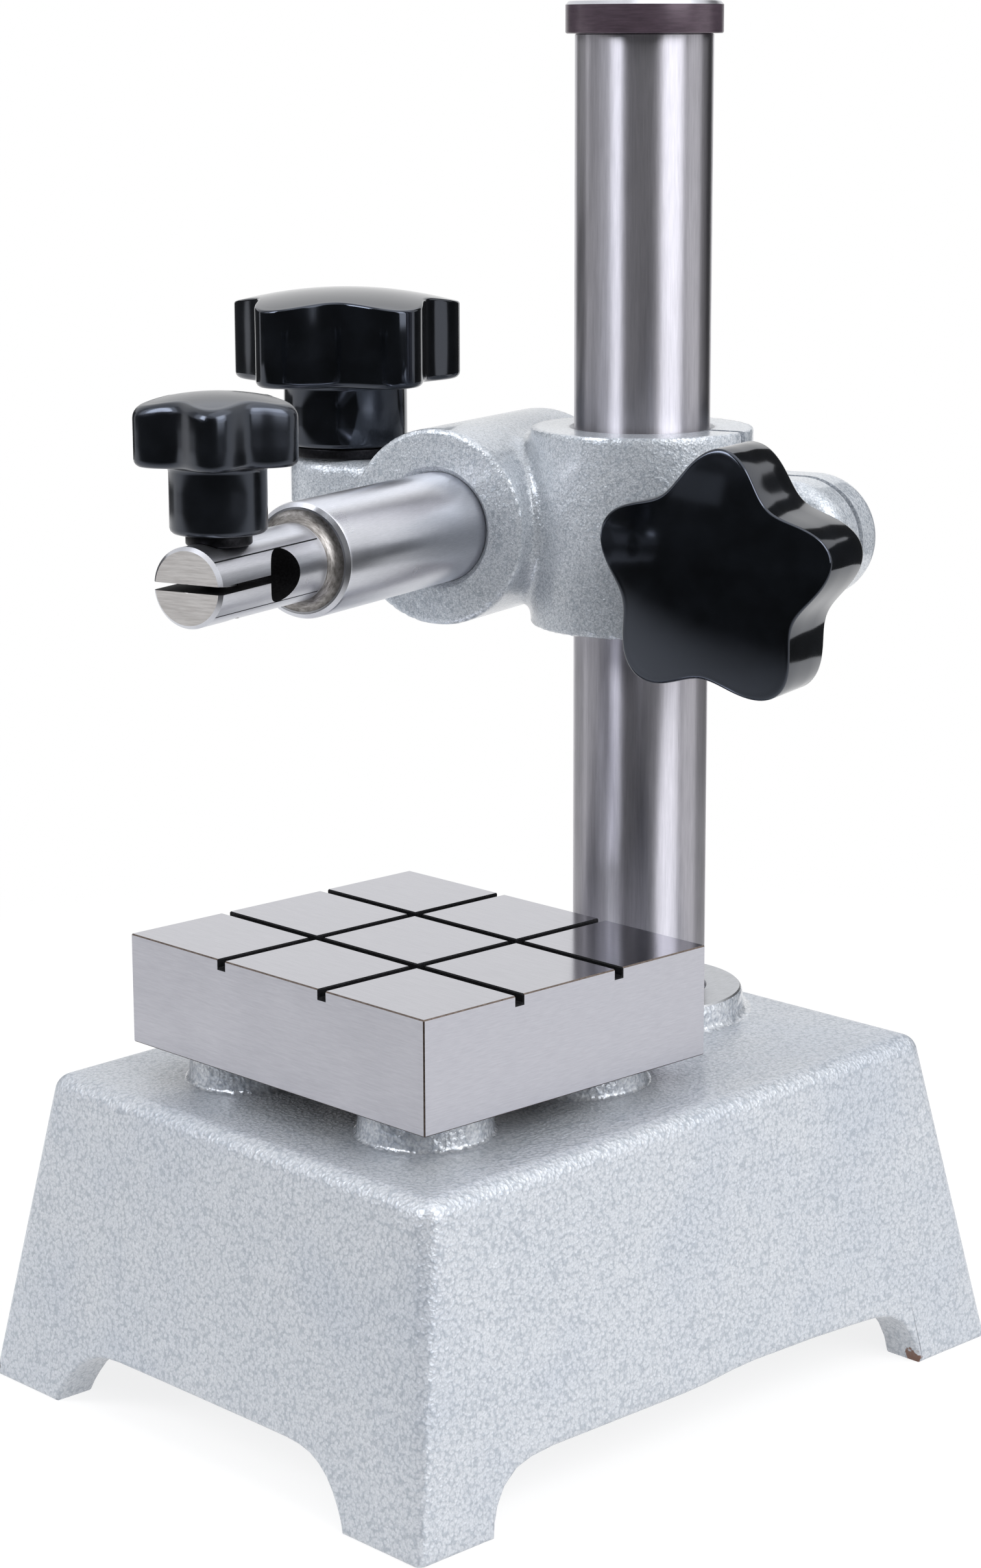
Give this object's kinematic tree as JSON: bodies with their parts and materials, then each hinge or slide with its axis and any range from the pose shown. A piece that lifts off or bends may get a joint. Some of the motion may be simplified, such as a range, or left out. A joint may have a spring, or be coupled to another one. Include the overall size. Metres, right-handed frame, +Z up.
{
  "type": "comparator stand",
  "caption": "Bench comparator stand: hollow cast base with arched feet, grooved steel table, ground column, split clamp head and a sliding crossbar that holds a gauge.",
  "frame": {"origin": "on the floor, in the middle of the footprint of the four feet", "axes": "+X to the right, +Y from the table towards the column, +Z up along the column"},
  "size_m": [0.1285, 0.1455, 0.2173],
  "materials": {
    "base_enamel": "hammered silver enamel, gloss",
    "head_enamel": "fine speckled silver enamel, satin",
    "table_steel": "fine ground",
    "column_steel": "ground and polished",
    "bar_steel": "turned and polished",
    "cap_steel": "turned and blackened",
    "blackened_steel": "blackened",
    "plain_steel": "plain",
    "knob_plastic": "moulded, gloss"
  },
  "bodies": {
    "base": {"base_casting": "base_enamel", "measuring_table": "table_steel", "table_screws": "blackened_steel", "table_spring_washers": "plain_steel"},
    "column": {"column": "column_steel", "column_cap": "cap_steel", "column_bolt": "blackened_steel", "column_washer": "plain_steel", "column_spring_washer": "plain_steel"},
    "head": {"clamp_head": "head_enamel"},
    "bar_stop": {"bar_stop_washer": "plain_steel", "bar_stop_screw": "blackened_steel"},
    "crossbar": {"crossbar": "bar_steel"},
    "column_clamp_ring": {"column_clamp_washer": "blackened_steel"},
    "column_clamp_handle": {"column_clamp_knob": "knob_plastic", "column_clamp_stud": "plain_steel"},
    "bar_clamp_ring": {"bar_clamp_washer": "blackened_steel"},
    "bar_clamp_handle": {"bar_clamp_knob": "knob_plastic", "bar_clamp_stud": "plain_steel"},
    "tip_clamp_ring": {"tip_clamp_washer": "blackened_steel"},
    "tip_clamp_handle": {"tip_clamp_knob": "knob_plastic", "tip_clamp_stud": "plain_steel"}
  },
  "joints": [
    {"name": "head_swivel", "type": "hinge", "parent": "base", "child": "column", "pos_m": [0, 0.03314, 0.1], "axis": [0, 0, 1], "continuous": true},
    {"name": "head_lift", "type": "slide", "parent": "column", "child": "head", "axis": [0, 0, 1], "range_m": [-0.037, 0.061]},
    {"name": "bar_slide", "type": "slide", "parent": "head", "child": "bar_stop", "axis": [0.2947, -0.9556, 0], "range_m": [-0.045, 0.03]},
    {"name": "bar_turn", "type": "hinge", "parent": "bar_stop", "child": "crossbar", "pos_m": [-0.02676, 0.02489, 0.1342], "axis": [0.2947, -0.9556, 0], "continuous": true},
    {"name": "column_clamp_travel", "type": "slide", "parent": "head", "child": "column_clamp_ring", "axis": [0.2947, -0.9556, 0], "range_m": [0, 0.00125]},
    {"name": "column_clamp_turn", "type": "hinge", "parent": "column_clamp_ring", "child": "column_clamp_handle", "pos_m": [0.02993, 0.03348, 0.1317], "axis": [0.2947, -0.9556, 0], "range_deg": [0, 360]},
    {"name": "bar_clamp_travel", "type": "slide", "parent": "head", "child": "bar_clamp_ring", "axis": [0, 0, 1], "range_m": [0, 0.00125]},
    {"name": "bar_clamp_turn", "type": "hinge", "parent": "bar_clamp_ring", "child": "bar_clamp_handle", "pos_m": [-0.0537, 0.01658, 0.1427], "axis": [0, 0, 1], "range_deg": [0, 360]},
    {"name": "tip_clamp_travel", "type": "slide", "parent": "crossbar", "child": "tip_clamp_ring", "axis": [0, 0, 1], "range_m": [0, 0.0008]},
    {"name": "tip_clamp_turn", "type": "hinge", "parent": "tip_clamp_ring", "child": "tip_clamp_handle", "pos_m": [-0.00274, -0.05299, 0.1396], "axis": [0, 0, 1], "range_deg": [0, 360]}
  ],
  "couplings": [
    {"joint": "column_clamp_travel", "follows": "column_clamp_turn", "m_per_rad": 0.0001989},
    {"joint": "bar_clamp_travel", "follows": "bar_clamp_turn", "m_per_rad": 0.0001989},
    {"joint": "tip_clamp_travel", "follows": "tip_clamp_turn", "m_per_rad": 0.0001273}
  ]
}
